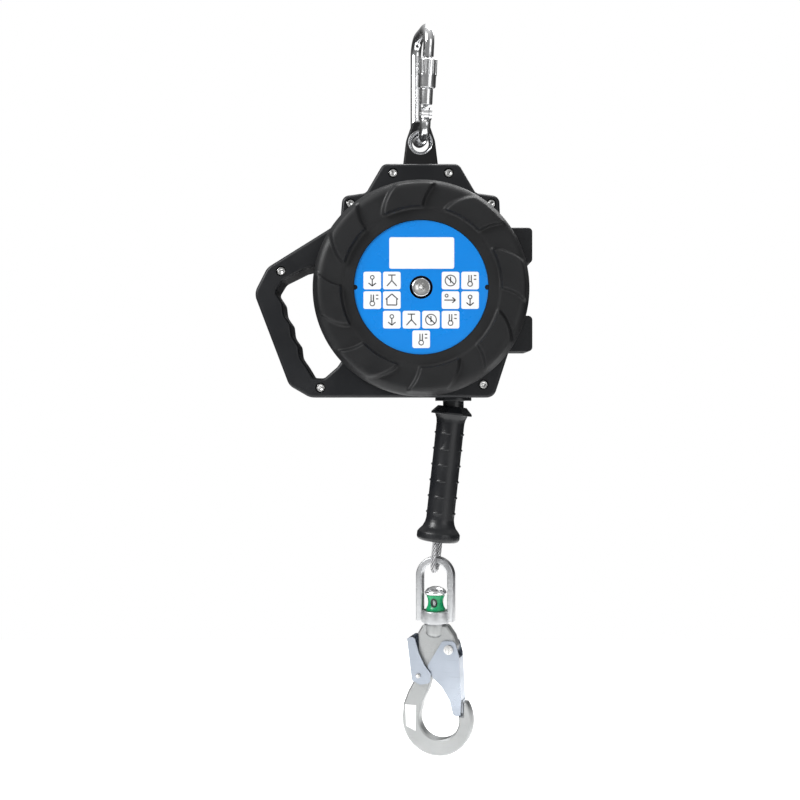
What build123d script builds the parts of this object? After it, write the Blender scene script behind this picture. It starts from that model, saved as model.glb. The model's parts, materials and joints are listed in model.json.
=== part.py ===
from build123d import *
import os
from math import asin, atan2, cos, degrees, hypot, radians, sin, sqrt

# A self retracting lifeline: a housing that hangs by a carabiner and holds a sprung cable drum, and a
# steel lead with a hand grip, a swivel and a snap hook.
# Millimetres. X is to the right seen from the front, +Y to the rear, +Z up.
# The origin is the inside of the top carabiner's crown, where the anchor bears.

# Fits and clearances
RUNNING = 0.05  # radial, shaft in a turning bore
GAP = 0.3  # between pieces that move past each other
LOOSE = 0.15  # radial, a fixed screw in its hole

# Top carabiner
BAR_D = 10.0
CARABINER_INSIDE = 88.4  # crown to bottom bend
SPINE_U = -18.0  # spine centreline, across the carabiner
HINGE_U = 18.5
HINGE_RISE = 21.4  # gate hinge above the bottom bar's centreline
GATE_LEAN_U = 10.5  # how far the gate leans out over its length
GATE_RISE = 50.0
BEND_R = 16.5
CROWN_SPINE_R = 15.0
CROWN_NOSE_R = 13.0
CARABINER_YAW = 13.0  # degrees that its plane is turned from fore and aft
GATE_BAR_R = 4.2
GATE_BARREL_R = 6.0
GATE_FOOT = 8.5  # the gate's round part starts here, above its hinge
SLEEVE_FOOT = 23.3
SLEEVE_R = 8.2
SLEEVE_RING_R = 8.7
SLEEVE_L = 11.0
SLEEVE_RING_L = 15.0

# Anchor lug and eye
LUG_HALF = 7.0
EYE_R = 10.2
BUSH_WALL = 1.1
BUSH_LIP = 0.3
BUSH_PROUD = 0.4
LUG_TOP = 20.5  # above the eye's centre
LUG_TOP_HALF = 7.0
LUG_EYE_HALF = 13.4
LUG_BEND = 2.0  # the sides turn in from here, above the eye's centre
LUG_FOOT_HALF = 17.0
LUG_FOOT_DROP = 27.0
LUG_TANG_HALF = 13.0
LUG_TANG_Z = 82.0  # above the drum axis
LUG_CHAMFER = 1.6

# Housing, measured from the drum axis
EYE_TO_AXIS = 136.9
CASING_R = 92.0
WALL = 3.0
FLANGE_HALF = 25.0  # half the depth at the flange, ears and handle
BULGE_HALF = 31.0  # half the depth over the drum
CASING_TOP = 114.0
CASING_BOTTOM = -99.0
PLATEAU_HALF = 34.5
EAR_X = 71.5
EAR_Z = 84.5
EDGE_R = 3.0
FOOT_X = 101.4
FOOT_H = 32.5
FOOT_Z = (39.5, -40.7)
OPENING_R = 95.0
HANDLE_LEFT = -150.0
FINGERS = 3
FINGER_DEPTH = 2.6

# Bumper rings and covers
RING_R = 98.0
RING_IN_R = 60.6
RING_STEP_R = 71.0
RING_FACE = 43.0
RING_FLAT = 41.0
TREAD_FACE = 46.5
TREADS = 8
COVER_R = 60.4
COVER_FACE = 39.0
LABEL_T = 0.6
RECESS_R = 10.1
BOLT_HEAD_R = 8.4

# Screws
SCREW_HEAD_R = 3.7
SCREW_SHANK_R = 2.0
SCREW_RECESS_R = 4.6
SCREW_RECESS = 3.2
SCREW_L = 34.0

# Frame, axle and brake
PLATE_IN = 19.0
PLATE_T = 3.0
AXLE_R = 8.0
AXLE_BOLT_R = 4.0
SPACER_R = 4.5
TUBE_R = 6.0  # spacers beside the lug
LUG_BOLTS = [(-8.0, 92.0), (8.0, 92.0)]
TOOTH_H = 5.0
TEETH = 12
LINING_T = 1.0
RATCHET_T = 6.0
CLAMP_T = 2.5

# Drum
CABLE_R = 2.5
WRAP_R = 41.0  # pitch radius of the turn that pays out
HUB_R = 24.0
HUB_BORE_R = 11.0
LANE = 2.9  # half the width that the moving turn runs in
DRUM_IN = 8.0
DRUM_FLANGE_T = 2.5
SPRING_CUP_R = 41.0
SPRING_TURNS = 7
SPRING_BAND = 1.2
PAWLS = 3
PAWL_PIN_R = 2.5
PAWL_REACH = 20.0
TRAVEL_TURN = 120.0  # degrees of drum for the modelled travel: a whole number of brake teeth

# Nozzle and lead
NOZZLE_X = 30.6
NOZZLE_Z = -98.0
NOZZLE_R = 9.65
NOZZLE_FLANGE_R = 16.8
NOZZLE_FLANGE_T = 3.0
NOZZLE_NECK = 7.0
NOZZLE_IN = 11.0
BUSH_R = 6.0
COLLAR_TOP = -9.2  # along the lead from the nozzle, like the sizes below
COLLAR_RIM = -15.2
GRIP_TOP = -17.0
COLLAR_R = 19.5
COLLAR_TOP_R = 13.6
COLLAR_CUP_R = 11.5
GRIP_R = 13.0
GRIP_LIP_R = 15.2
RIB_R = 13.8
RIB_H = 1.8
RIB_HALF = 4.4
RIB_FIRST = -35.5
RIB_PITCH = 14.8
RIBS = 6
BELL_TOP = -114.0
BELL_LOW = -134.8
BELL_R = 20.0
LOOP_Z = -152.3  # the bow's bar, along the lead from the nozzle
LOOP_R = 8.9
LOOP_SHOULDER_R = 36.0
FERRULE_L = 20.0
TAIL_Y = 5.6

# Bow and swivel, from the centre of the bow's bar
SWIVEL_YAW = -16.0
BOW_T = 6.0
BOW_W = 10.0
BOW_HALF = 14.9
SWIVEL_TOP = -47.2
SWIVEL_H = 11.1
SWIVEL_R = 13.5
SHANK_R = 6.0
CAP_R = 10.2
CAP_TOP = -24.8
CAP_H = 7.5
BARREL_R = 10.0
BARREL_TOP = -60.2
BARREL_BOTTOM = -72.0

# Hook
HOOK_HALF = 6.5
HOOK_EDGE = 1.3
CHEEK_T = 1.8
LEVER_T = 1.6
GATE_PIN = (14.4, -81.6)
GATE_PIN_R = 3.5
LEVER_PIN = (-13.9, -106.7)
LEVER_PIN_R = 2.2
BOWL = (2.5, -148.0)
BOWL_R = 33.0
SEAT = (4.5, -147.0)
SEAT_R = 19.0
NOSE_X = 27.2
NOSE_TOP = -130.0
NOTCH_Z = -142.4

# Worked out from the sizes above
SWING_Z = -(CARABINER_INSIDE + BAR_D / 2)
bendInner = BEND_R - BAR_D / 2
bendReach = LUG_HALF / cos(radians(CARABINER_YAW)) + 0.4
BEND_RISE = bendInner - sqrt(bendInner**2 - bendReach**2)
EYE_Z = SWING_Z - (EYE_R - BAR_D / 2 - BEND_RISE - GAP)
EYE_THROAT_R = EYE_R - BEND_RISE + GAP  # the bush narrows to this, round the bar
AXIS_Z = EYE_Z - EYE_TO_AXIS
NOZZLE_D = hypot(NOZZLE_X, NOZZLE_Z)
LEAN = degrees(asin(WRAP_R / NOZZLE_D)) - degrees(atan2(NOZZLE_X, -NOZZLE_Z))
LEAD_TOP = sqrt(NOZZLE_D**2 - WRAP_R**2)
DRUM_AT = Pos(0, 0, AXIS_Z)
PLATE_R = CASING_R - 5.5
SPACER_PCR = PLATE_R - 5.0
RATCHET_R = PLATE_R - 10.5
TOOTH_ROOT_R = RATCHET_R - 5.0
TOOTH_TIP_R = TOOTH_ROOT_R - TOOTH_H
FLANGE_R = TOOTH_ROOT_R - 13.0
PAWL_PCR = TOOTH_ROOT_R - 21.0
CHEEK_IN = HOOK_HALF + GAP
LEVER_IN = CHEEK_IN + CHEEK_T + 0.4
LEAD_AT = Pos(NOZZLE_X, 0, AXIS_Z + NOZZLE_Z) * Rot(0, LEAN, 0) * Rot(0, 0, SWIVEL_YAW)
BOW_X = NOZZLE_X + LOOP_Z * sin(radians(LEAN))
BOW_Z = AXIS_Z + NOZZLE_Z + LOOP_Z * cos(radians(LEAN))
BOW_AT = Pos(BOW_X, 0, BOW_Z) * Rot(0, 0, SWIVEL_YAW)
CARABINER_AT = Rot(0, 0, CARABINER_YAW - 90)
SCREWS = [
    (-25.3, 105.4),
    (25.3, 105.4),
    (-64.0, 77.5),
    (64.0, 77.5),
    (-127.3, 16.1),
    (-91.4, -90.0),
    (56.9, -87.1),
]

nodes = {}


def across(face, low, high):
    """A face drawn in X and Z, made solid between two depths in Y."""
    return extrude(Plane.XZ.offset(-high) * face, high - low)


def disc(x, z, r, low, high):
    return across(Pos(x, z) * Circle(r), low, high)


def ring(x, z, outer, inner, low, high):
    return across(Pos(x, z) * (Circle(outer) - Circle(inner)), low, high)


def outline(points, radii):
    return make_face(FilletPolyline(*points, radius=radii, close=True))


def polygon(points):
    return make_face(Polyline(*points, close=True))


def turned(points):
    """A closed profile of (radius, height), turned about Z."""
    return revolve(Plane.XZ * polygon(points), Axis.Z)


def turnedAboutY(face):
    return revolve(face, Axis.Y)


def post(x, y, r, low, high):
    return Pos(x, y, low) * Cylinder(r, high - low, align=(Align.CENTER, Align.CENTER, Align.MIN))


def slab(low, high):
    """A box between two corners."""
    size = [b - a for a, b in zip(low, high)]
    return Pos(*low) * Box(*size, align=(Align.MIN, Align.MIN, Align.MIN))


def tube(points, radii, r):
    path = FilletPolyline(*points, radius=radii)
    start = Plane(origin=path @ 0, z_dir=path % 0)
    return sweep(start * Circle(r), path)


# Top carabiner, drawn with its plane in XZ and then turned


def gateLine():
    """Where the gate turns, and the direction from there to the nose."""
    hinge = (HINGE_U, SWING_Z + HINGE_RISE)
    length = hypot(GATE_LEAN_U, GATE_RISE)
    return hinge, length, degrees(atan2(GATE_LEAN_U, GATE_RISE))


def carabiner():
    hinge, length, lean = gateLine()
    crown = BAR_D / 2
    noseU = hinge[0] + GATE_LEAN_U * (crown - hinge[1]) / GATE_RISE
    tipX = hinge[0] + GATE_LEAN_U
    tipZ = hinge[1] + GATE_RISE
    points = [
        (hinge[0], 0, hinge[1]),
        (-SPINE_U, 0, SWING_Z),
        (SPINE_U, 0, SWING_Z),
        (SPINE_U, 0, crown),
        (noseU, 0, crown),
        (tipX, 0, tipZ),
    ]
    body = tube(points, [BEND_R, BEND_R, CROWN_SPINE_R, CROWN_NOSE_R], BAR_D / 2)
    at = Pos(hinge[0], 0, hinge[1]) * Rot(0, lean, 0)
    body += disc(*hinge, 6.0, -5, 5)
    body -= at * slab((-9, -2.3, -7), (9, 2.3, GATE_FOOT))
    body -= disc(*hinge, 1.7, -6, 6)
    nodes["carabiner_body"] = CARABINER_AT * body
    nodes["carabiner_rivet"] = CARABINER_AT * disc(*hinge, 1.7, -5.4, 5.4)

    gate = post(0, 0, GATE_BAR_R, GATE_FOOT, length - 2 * GAP)
    gate += post(0, 0, GATE_BARREL_R, GATE_FOOT, SLEEVE_FOOT - GAP)
    gate = chamfer(gate.edges().filter_by(GeomType.CIRCLE).sort_by(SortBy.RADIUS)[-2:], 0.8)
    gate += disc(0, 0, 5.0, -2, 2) + slab((-3.6, -2, 0), (3.6, 2, GATE_FOOT + 1))
    gate = at * gate
    gate -= disc(*hinge, 1.7 + RUNNING, -6, 6)
    nodes["carabiner_gate"] = CARABINER_AT * gate

    low = SLEEVE_FOOT
    mid = low + SLEEVE_L
    bore = GATE_BAR_R + RUNNING
    sleeve = turned([
        (bore, low), (SLEEVE_R - 1, low), (SLEEVE_R, low + 1), (SLEEVE_R, mid), (bore, mid)
    ])
    top = mid + SLEEVE_RING_L
    collar = turned([
        (bore, mid), (SLEEVE_RING_R, mid), (SLEEVE_RING_R, top - 1.2), (SLEEVE_RING_R - 1.2, top), (bore, top)
    ])
    for n in range(16):
        collar -= Rot(0, 0, n * 22.5) * post(SLEEVE_RING_R + 0.25, 0, 0.7, mid + 1.5, top - 1.5)
    nodes["lock_sleeve"] = CARABINER_AT * at * sleeve
    nodes["lock_ring"] = CARABINER_AT * at * collar


# Housing, drawn about the drum axis


def flangeFace():
    points = [
        (-PLATEAU_HALF, CASING_TOP),
        (PLATEAU_HALF, CASING_TOP),
        (50, EAR_Z + 3),
        (EAR_X, EAR_Z),
        (EAR_X + 1, 58),
        (60, 0),
        (80.5, -56),
        (66.5, CASING_BOTTOM),
        (-101, CASING_BOTTOM),
        (-120, -88),
        (HANDLE_LEFT - 2, -4),
        (HANDLE_LEFT + 10, 19.5),
        (-73.5, 61),
        (-EAR_X, EAR_Z),
        (-50, EAR_Z + 3),
    ]
    return outline(points, [7, 7, 6, 7, 3, 20, 4, 9, 14, 12, 14, 14, 3, 7, 6])


def handleOpening():
    """The hand's opening, with a wavy finger side. It runs in under the drum's bulge."""
    start, end = Vector(-126, -13), Vector(-104, -71)
    along = end - start
    side = Vector(along.Y, -along.X).normalized()
    grip = []
    for n in range(2 * FINGERS + 1):
        at = start + along * (n / (2 * FINGERS)) + side * (FINGER_DEPTH if n % 2 else 0)
        grip.append((at.X, at.Y))
    waves = [10 if n % 2 else 6 for n in range(len(grip))]
    points = [(-80, 24), (-106, 17.5), (-126, 7.5), (-132.5, -3)] + grip + [
        (-98, -81), (-88, -81.5), (-76, -71), (-55, -40)
    ]
    return outline(points, [4, 7, 7, 4] + waves + [4, 5, 8, 4])


def casingShell():
    """One half without its screw holes, from the parting plane at y = 0 towards -Y."""
    body = across(flangeFace() - handleOpening(), -FLANGE_HALF, 0)
    body = fillet(body.faces().sort_by(Axis.Y)[0].edges(), EDGE_R)
    body += disc(0, 0, OPENING_R, -FLANGE_HALF, 0)
    body += disc(0, 0, CASING_R, -BULGE_HALF, 0)
    body -= disc(0, 0, CASING_R - WALL - 0.5, -BULGE_HALF + WALL, 1)
    body -= slab((-19, -PLATE_IN - PLATE_T - 1, 60), (19, 1, CASING_TOP - 7))
    body -= slab((-LUG_FOOT_HALF - 0.2, -LUG_HALF - 0.2, 90), (LUG_FOOT_HALF + 0.2, 1, CASING_TOP + 1))
    body -= disc(0, 0, AXLE_R, -BULGE_HALF - 1, 0)
    return body - post(NOZZLE_X, 0, NOZZLE_R, CASING_BOTTOM - 1, -0.75 * CASING_R)


def frontCasing():
    body = casingShell()
    for x, z in SCREWS:
        body -= disc(x, z, SCREW_SHANK_R + LOOSE, -FLANGE_HALF - 1, 1)
        body -= disc(x, z, SCREW_RECESS_R, -FLANGE_HALF - 1, SCREW_RECESS - FLANGE_HALF)
    return body


def rearCasing():
    body = casingShell()
    for x, z in SCREWS:
        body -= disc(x, z, SCREW_SHANK_R + LOOSE, FLANGE_HALF - SCREW_L - 1, 1)
    return mirror(body, Plane.XZ)


def casingScrews():
    screws = []
    for x, z in SCREWS:
        low = SCREW_RECESS - FLANGE_HALF
        head = disc(x, z, SCREW_HEAD_R, low - 2.4, low)
        head = fillet(head.edges().group_by(Axis.Y)[0], 0.7)
        head -= across(Pos(x, z) * RegularPolygon(1.7, 6), low - 3, low - 1)
        screws.append(head + disc(x, z, SCREW_SHANK_R, low, low + SCREW_L - SCREW_RECESS))
    return screws


def foot(z):
    block = across(Pos(84, z) * Rectangle(FOOT_X - 84, FOOT_H, align=(Align.MIN, Align.CENTER)), -25, 25)
    block += slab((74, -25, z - FOOT_H / 2), (84, 25, z + FOOT_H / 2))
    ends = block.edges().filter_by(Axis.Y).group_by(Axis.X)[-1]
    block = fillet(ends, 4.0)
    return block - across(flangeFace() + Circle(OPENING_R), -30, 30)


def housing():
    nodes["front_casing"] = DRUM_AT * frontCasing()
    nodes["rear_casing"] = DRUM_AT * rearCasing()
    nodes["casing_screws"] = Compound(children=[DRUM_AT * s for s in casingScrews()])
    nodes["upper_foot"] = DRUM_AT * foot(FOOT_Z[0])
    nodes["lower_foot"] = DRUM_AT * foot(FOOT_Z[1])

    eye = EYE_TO_AXIS
    lug = [
        (-LUG_FOOT_HALF, eye - LUG_FOOT_DROP),
        (LUG_FOOT_HALF, eye - LUG_FOOT_DROP),
        (LUG_EYE_HALF, eye + LUG_BEND),
        (LUG_TOP_HALF, eye + LUG_TOP),
        (-LUG_TOP_HALF, eye + LUG_TOP),
        (-LUG_EYE_HALF, eye + LUG_BEND),
    ]
    plate = across(outline(lug, [0, 0, 20, 6.5, 6.5, 20]), -LUG_HALF, LUG_HALF)
    sides = plate.faces().filter_by(Axis.Y)
    plate = chamfer(sides.edges(), LUG_CHAMFER)
    plate += slab(
        (-LUG_TANG_HALF, -LUG_HALF, LUG_TANG_Z), (LUG_TANG_HALF, LUG_HALF, eye - LUG_FOOT_DROP + 4)
    )
    plate -= disc(0, eye, EYE_R + BUSH_WALL, -LUG_HALF - 1, LUG_HALF + 1)
    for x, z in LUG_BOLTS:
        plate -= disc(x, z, AXLE_BOLT_R, -LUG_HALF - 1, LUG_HALF + 1)
    nodes["anchor_lug"] = DRUM_AT * plate
    half = LUG_HALF + BUSH_PROUD
    mouth = EYE_R + BUSH_WALL - BUSH_LIP
    outer = EYE_R + BUSH_WALL
    bush = turnedAboutY(make_face([
        ThreePointArc((mouth, -half), (EYE_THROAT_R, 0), (mouth, half)),
        Polyline((mouth, half), (outer, half), (outer, -half), (mouth, -half)),
    ]))
    nodes["eye_bush"] = DRUM_AT * Pos(0, 0, eye) * bush


def bumperRing():
    base = outline([
        (RING_IN_R, -BULGE_HALF),
        (CASING_R + 0.2, -BULGE_HALF),
        (CASING_R + 0.2, -FLANGE_HALF - 0.2),
        (RING_R, -FLANGE_HALF - 0.2),
        (RING_R, -RING_FACE),
        (RING_STEP_R + 2, -RING_FACE),
        (RING_STEP_R, -RING_FLAT),
        (RING_IN_R, -RING_FLAT),
    ], [0, 0, 0, 0, 9, 1, 1, 0])
    envelope = outline([
        (RING_STEP_R + 0.5, -BULGE_HALF - 2),
        (RING_R - 0.4, -BULGE_HALF - 2),
        (RING_R - 0.4, -TREAD_FACE),
        (RING_STEP_R + 3.5, -TREAD_FACE),
    ], [0, 0, 11, 0])
    body = turnedAboutY(base)
    crown = turnedAboutY(envelope)
    block = crown & across(treadFace(), -TREAD_FACE - 1, -BULGE_HALF - 2)
    for n in range(TREADS):
        body += Rot(0, n * 360 / TREADS, 0) * block
    return body


def polar(r, angle):
    return (r * cos(radians(angle)), r * sin(radians(angle)))


def treadFace():
    """One tread block, swept back as it goes outwards."""
    low, high = RING_STEP_R - 1, RING_R + 2
    right = ThreePointArc(polar(low, 89), polar((low + high) / 2, 87.6), polar(high, 82))
    left = ThreePointArc(polar(low, 119), polar((low + high) / 2, 114.5), polar(high, 104.5))
    inner = ThreePointArc(left @ 0, polar(low, 104), right @ 0)
    outer = ThreePointArc(left @ 1, polar(high, 93), right @ 1)
    return make_face([inner, right, outer, left])


def coversAndBolts():
    front = bumperRing()
    nodes["front_bumper_ring"] = DRUM_AT * front
    nodes["rear_bumper_ring"] = DRUM_AT * mirror(front, Plane.XZ)
    cover = ring(0, 0, COVER_R, AXLE_BOLT_R + LOOSE, -COVER_FACE, -BULGE_HALF)
    cover -= disc(0, 0, RECESS_R, -COVER_FACE - 1, -COVER_FACE + 4)
    nodes["front_cover"] = DRUM_AT * cover
    nodes["rear_cover"] = DRUM_AT * mirror(cover, Plane.XZ)
    label = ring(0, 0, COVER_R - 0.2, RECESS_R + 0.3, -COVER_FACE - LABEL_T, -COVER_FACE)
    for side in (-1, 1):
        label -= disc(side * (COVER_R - 1), 0, 2.3, -COVER_FACE - 1, -COVER_FACE + 1)
    nodes["front_label"] = DRUM_AT * label
    head = disc(0, 0, BOLT_HEAD_R, -COVER_FACE - 1.5, -COVER_FACE + 4)
    head = fillet(head.edges().group_by(Axis.Y)[0], 1.2)
    head -= across(RegularPolygon(3.2, 6), -COVER_FACE - 2, -COVER_FACE + 1)
    bolt = head + disc(0, 0, AXLE_BOLT_R, -COVER_FACE + 4, -18)
    nodes["front_bolt"] = DRUM_AT * bolt
    nodes["rear_bolt"] = DRUM_AT * mirror(bolt, Plane.XZ)


def framePlate():
    face = Circle(PLATE_R) + Pos(0, 80) * Rectangle(36, 48)
    face -= Circle(AXLE_R)
    for x, z in spacerPlaces():
        face -= Pos(x, z) * Circle(AXLE_BOLT_R)
    return across(face, -PLATE_IN - PLATE_T, -PLATE_IN)


def spacerPlaces():
    return LUG_BOLTS + [polar(SPACER_PCR, a) for a in (-140, -28, 25, 155)]


def frame():
    plate = framePlate()
    nodes["front_frame_plate"] = DRUM_AT * plate
    nodes["rear_frame_plate"] = DRUM_AT * mirror(plate, Plane.XZ)
    bolts, tubes = [], []
    for n, (x, z) in enumerate(spacerPlaces()):
        end = PLATE_IN + PLATE_T
        bolts.append(disc(x, z, AXLE_BOLT_R, -end, end))
        if n < len(LUG_BOLTS):
            tubes.append(ring(x, z, TUBE_R, AXLE_BOLT_R, LUG_HALF, PLATE_IN))
            tubes.append(ring(x, z, TUBE_R, AXLE_BOLT_R, -PLATE_IN, -LUG_HALF))
        else:
            tubes.append(ring(x, z, SPACER_R, AXLE_BOLT_R, -PLATE_IN, PLATE_IN))
    nodes["frame_bolts"] = Compound(children=[DRUM_AT * b for b in bolts])
    nodes["frame_spacers"] = Compound(children=[DRUM_AT * t for t in tubes])
    axle = disc(0, 0, AXLE_R, -BULGE_HALF, BULGE_HALF)
    axle -= disc(0, 0, AXLE_BOLT_R, -BULGE_HALF - 1, -16) + disc(0, 0, AXLE_BOLT_R, 16, BULGE_HALF + 1)
    nodes["axle"] = DRUM_AT * axle


def brake():
    first = -PLATE_IN + LINING_T
    second = first + RATCHET_T
    teeth = Circle(RATCHET_R) - Circle(TOOTH_ROOT_R)
    for n in range(TEETH):
        at = 70 - 4 - n * 360 / TEETH
        teeth += polygon([
            polar(TOOTH_TIP_R, at - 3), polar(TOOTH_ROOT_R + 1, at - 4),
            polar(TOOTH_ROOT_R + 1, at + 5), polar(TOOTH_TIP_R, at + 2),
        ])
    nodes["ratchet_ring"] = DRUM_AT * across(teeth, first, second)
    lining = [
        ring(0, 0, RATCHET_R, TOOTH_ROOT_R, -PLATE_IN, first),
        ring(0, 0, RATCHET_R, TOOTH_ROOT_R, second, second + LINING_T),
    ]
    nodes["friction_linings"] = Compound(children=[DRUM_AT * s for s in lining])
    top = second + LINING_T
    nodes["clamp_ring"] = DRUM_AT * ring(0, 0, RATCHET_R, TOOTH_ROOT_R, top, top + CLAMP_T)


# Drum group, drawn about the drum axis


def springBand():
    """A flat spiral made of half rings, each centred half a pitch from the last."""
    pitch = (SPRING_CUP_R - 3.5 - 14) / SPRING_TURNS
    band = None
    r = 14.0
    for n in range(2 * SPRING_TURNS - 1):
        up = n % 2 == 0
        half = Circle(r + SPRING_BAND) - Circle(r)
        keep = Rectangle(200, 100, align=(Align.CENTER, Align.MIN if up else Align.MAX))
        piece = Pos(0 if up else pitch / 2, 0) * (half & keep)
        band = piece if band is None else band + piece
        r += pitch / 2
    return band


def drumGroup():
    outer = DRUM_IN + DRUM_FLANGE_T
    body = ring(0, 0, HUB_R, HUB_BORE_R, -outer, outer)
    body += ring(0, 0, FLANGE_R, HUB_BORE_R, -outer, -DRUM_IN)
    body += ring(0, 0, FLANGE_R, HUB_BORE_R, DRUM_IN, outer)
    body += ring(0, 0, SPRING_CUP_R, SPRING_CUP_R - 2, outer, PLATE_IN - 1.6)
    pins, pawls = [], []
    for n in range(PAWLS):
        turn = Rot(0, -n * 360 / PAWLS, 0)
        pin = disc(0, PAWL_PCR, PAWL_PIN_R, -PLATE_IN + 0.8, -DRUM_IN)
        body -= turn * pin
        pins.append(DRUM_AT * turn * pin)
        pawls.append(turn * pawl())
    nodes["drum"] = DRUM_AT * body
    nodes["pawl_pins"] = Compound(children=pins)
    for n, piece in enumerate(pawls):
        nodes[f"pawl_{n + 1}"] = DRUM_AT * piece

    lane = WRAP_R - CABLE_R - GAP
    full = WRAP_R + CABLE_R
    profile = [
        (HUB_R, -DRUM_IN), (full, -DRUM_IN), (full, -LANE), (lane, -LANE),
        (lane, LANE), (full, LANE), (full, DRUM_IN), (HUB_R, DRUM_IN),
    ]
    nodes["wound_cable"] = DRUM_AT * turnedAboutY(polygon(profile))
    bushes = [
        ring(0, 0, HUB_BORE_R, AXLE_R + RUNNING, -outer, -2),
        ring(0, 0, HUB_BORE_R, AXLE_R + RUNNING, 2, outer),
    ]
    nodes["drum_bushes"] = Compound(children=[DRUM_AT * b for b in bushes])
    nodes["power_spring"] = DRUM_AT * across(springBand(), outer + 0.4, PLATE_IN - 2)
    nodes["spring_cover"] = DRUM_AT * ring(0, 0, SPRING_CUP_R, 12.5, PLATE_IN - 1.6, PLATE_IN - 0.6)


def pawl():
    face = Pos(0, PAWL_PCR) * Circle(5.2)
    face += polygon([
        (-1, PAWL_PCR - 5), (10, PAWL_PCR + 1), (PAWL_REACH, PAWL_PCR + 8), (PAWL_REACH - 2, PAWL_PCR + 11),
        (9, PAWL_PCR + 9), (0, PAWL_PCR + 5),
    ])
    face -= Pos(0, PAWL_PCR) * Circle(PAWL_PIN_R + RUNNING)
    return across(face, -PLATE_IN + 1.4, -DRUM_IN - DRUM_FLANGE_T - 0.5)


# Nozzle, cable and grip


def nozzle():
    top = CASING_BOTTOM
    neck = top - NOZZLE_FLANGE_T - NOZZLE_NECK
    body = post(NOZZLE_X, 0, NOZZLE_R, neck, top + NOZZLE_IN)
    body += post(NOZZLE_X, 0, NOZZLE_FLANGE_R, top - NOZZLE_FLANGE_T, top)
    body -= post(NOZZLE_X, 0, BUSH_R, neck - 1, top + NOZZLE_IN + 1)
    nodes["cable_nozzle"] = DRUM_AT * body
    bush = DRUM_AT * post(NOZZLE_X, 0, BUSH_R, neck, top + NOZZLE_IN)
    nodes["nozzle_bush"] = bush - LEAD_AT * post(0, 0, CABLE_R + GAP, -40, 40)


def lead():
    """Drawn along its own Z, with the nozzle's middle at 0, and then leaned."""
    ferruleLow = LOOP_Z + 44
    wide = LOOP_Z + 25
    route = [
        (0, 0, LEAD_TOP),
        (0, 0, ferruleLow),
        (0, -LOOP_R, wide),
        (0, -LOOP_R, LOOP_Z - LOOP_R),
        (0, LOOP_R, LOOP_Z - LOOP_R),
        (0, LOOP_R, wide),
        (0, TAIL_Y, ferruleLow),
        (0, TAIL_Y, ferruleLow + FERRULE_L + 2),
    ]
    cable = tube(route, [LOOP_SHOULDER_R] * 2 + [LOOP_R - 0.05] * 2 + [LOOP_SHOULDER_R] * 2, CABLE_R)
    nodes["lead_cable"] = LEAD_AT * cable

    oval = Circle(4.4) + Pos(0, TAIL_Y) * Circle(4.4) + Pos(0, TAIL_Y / 2) * Rectangle(8.8, TAIL_Y)
    oval -= Circle(CABLE_R) + Pos(0, TAIL_Y) * Circle(CABLE_R)
    base = ferruleLow + 4
    nodes["ferrule"] = LEAD_AT * Pos(0, 0, base) * extrude(oval, FERRULE_L - 6)

    cavityTop = ferruleLow + FERRULE_L + 5
    bore = CABLE_R + GAP
    grip = turned([
        (bore, GRIP_TOP),
        (GRIP_LIP_R, GRIP_TOP),
        (GRIP_R + 0.6, GRIP_TOP - 4),
        (GRIP_R, GRIP_TOP - 8),
        (GRIP_R, BELL_TOP),
        (GRIP_R + 0.8, BELL_TOP - 4),
        (GRIP_R + 2.6, BELL_TOP - 8),
        (BELL_R - 1.4, BELL_TOP - 11.5),
        (BELL_R, BELL_TOP - 13.6),
        (BELL_R, BELL_LOW + 3),
        (BELL_R - 1, BELL_LOW + 1),
        (BELL_R - 3, BELL_LOW),
        (13.6, BELL_LOW),
        (13.2, wide + 1),
        (10.9, wide + 9),
        (10.9, cavityTop),
        (bore, cavityTop + 6),
    ])
    for n in range(RIBS):
        z = RIB_FIRST - n * RIB_PITCH
        rib = turned([(GRIP_R - 0.5, z), (RIB_R, z + 0.4), (RIB_R, z + RIB_H), (GRIP_R - 0.5, z + RIB_H + 0.4)])
        reach = RIB_R + 1
        fore = slab((-RIB_HALF, -reach, z - 1), (RIB_HALF, reach, z + RIB_H + 1))
        grip += rib & (fore + Rot(0, 0, 90) * fore)
    nodes["grip"] = LEAD_AT * grip

    top = Pos(0, 0, COLLAR_TOP) * RegularPolygon(COLLAR_TOP_R, 8)
    rim = RegularPolygon(COLLAR_R, 8)
    collar = loft([Pos(0, 0, COLLAR_RIM) * rim, top])
    collar += extrude(Pos(0, 0, GRIP_TOP) * rim, COLLAR_RIM - GRIP_TOP)
    collar -= post(0, 0, bore, GRIP_TOP - 1, COLLAR_TOP)
    collar -= post(0, 0, COLLAR_CUP_R, -NOZZLE_FLANGE_T - NOZZLE_NECK - 4, COLLAR_TOP + 1)
    nodes["grip_collar"] = LEAD_AT * collar


# Swivel, drawn from the centre of the bow's bar


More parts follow.
